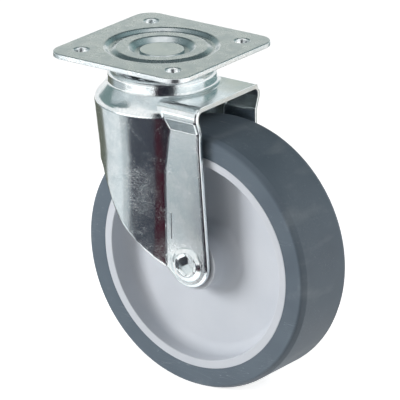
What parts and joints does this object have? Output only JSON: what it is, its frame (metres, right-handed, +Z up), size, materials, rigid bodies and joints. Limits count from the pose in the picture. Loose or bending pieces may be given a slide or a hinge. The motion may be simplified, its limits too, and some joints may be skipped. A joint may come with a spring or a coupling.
{
  "type": "swivel castor",
  "caption": "Swivel castor with a square bolt-down plate, a pressed steel fork turning on two ball rows, and a trailing wheel with a soft tyre on a moulded centre.",
  "frame": {"origin": "centre of the bolt plate's top face, on the swivel axis", "axes": "+Z up along the swivel axis toward what the castor carries, +X toward the trailing wheel, Y along the axle"},
  "size_m": [0.1314, 0.077, 0.1575],
  "materials": {
    "zinc_plated_steel": "bright zinc plating, slightly mottled",
    "bearing_steel": "polished",
    "bright_sheet_steel": "bright drawn",
    "grey_polypropylene": "moulded, satin",
    "blue_grey_elastomer": "matt, non-marking"
  },
  "bodies": {
    "mount": {"top_plate": "zinc_plated_steel", "king_pin": "zinc_plated_steel", "lower_race": "zinc_plated_steel"},
    "swivel_fork": {"fork": "zinc_plated_steel", "axle_sleeve": "zinc_plated_steel", "axle_screw": "zinc_plated_steel", "near_collar": "bright_sheet_steel", "far_collar": "bright_sheet_steel", "spacer_tube": "bright_sheet_steel", "near_inner_ring": "bearing_steel", "far_inner_ring": "bearing_steel"},
    "upper_row": {"upper_balls": "bearing_steel"},
    "lower_row": {"lower_balls": "bearing_steel"},
    "wheel": {"wheel_centre": "grey_polypropylene", "tyre": "blue_grey_elastomer", "near_outer_ring": "bearing_steel", "far_outer_ring": "bearing_steel", "near_shields": "bright_sheet_steel", "far_shields": "bright_sheet_steel"},
    "near_row": {"near_bearing_balls": "bearing_steel", "near_cage": "bright_sheet_steel"},
    "far_row": {"far_bearing_balls": "bearing_steel", "far_cage": "bright_sheet_steel"}
  },
  "joints": [
    {"name": "swivel", "type": "hinge", "parent": "mount", "child": "swivel_fork", "pos_m": [0, 0, 0], "axis": [0, 0, 1], "continuous": true},
    {"name": "upper_row_spin", "type": "hinge", "parent": "mount", "child": "upper_row", "pos_m": [0, 0, 0], "axis": [0, 0, 1], "continuous": true},
    {"name": "lower_row_spin", "type": "hinge", "parent": "mount", "child": "lower_row", "pos_m": [0, 0, 0], "axis": [0, 0, 1], "continuous": true},
    {"name": "wheel_spin", "type": "hinge", "parent": "swivel_fork", "child": "wheel", "pos_m": [0.0304, 0, -0.095], "axis": [0, 1, 0], "continuous": true},
    {"name": "near_row_spin", "type": "hinge", "parent": "swivel_fork", "child": "near_row", "pos_m": [0.0304, 0, -0.095], "axis": [0, 1, 0], "continuous": true},
    {"name": "far_row_spin", "type": "hinge", "parent": "swivel_fork", "child": "far_row", "pos_m": [0.0304, 0, -0.095], "axis": [0, 1, 0], "continuous": true}
  ],
  "couplings": [
    {"joint": "upper_row_spin", "follows": "swivel", "ratio": 0.5},
    {"joint": "lower_row_spin", "follows": "swivel", "ratio": 0.5},
    {"joint": "near_row_spin", "follows": "wheel_spin", "ratio": 0.5882},
    {"joint": "far_row_spin", "follows": "wheel_spin", "ratio": 0.5882}
  ]
}
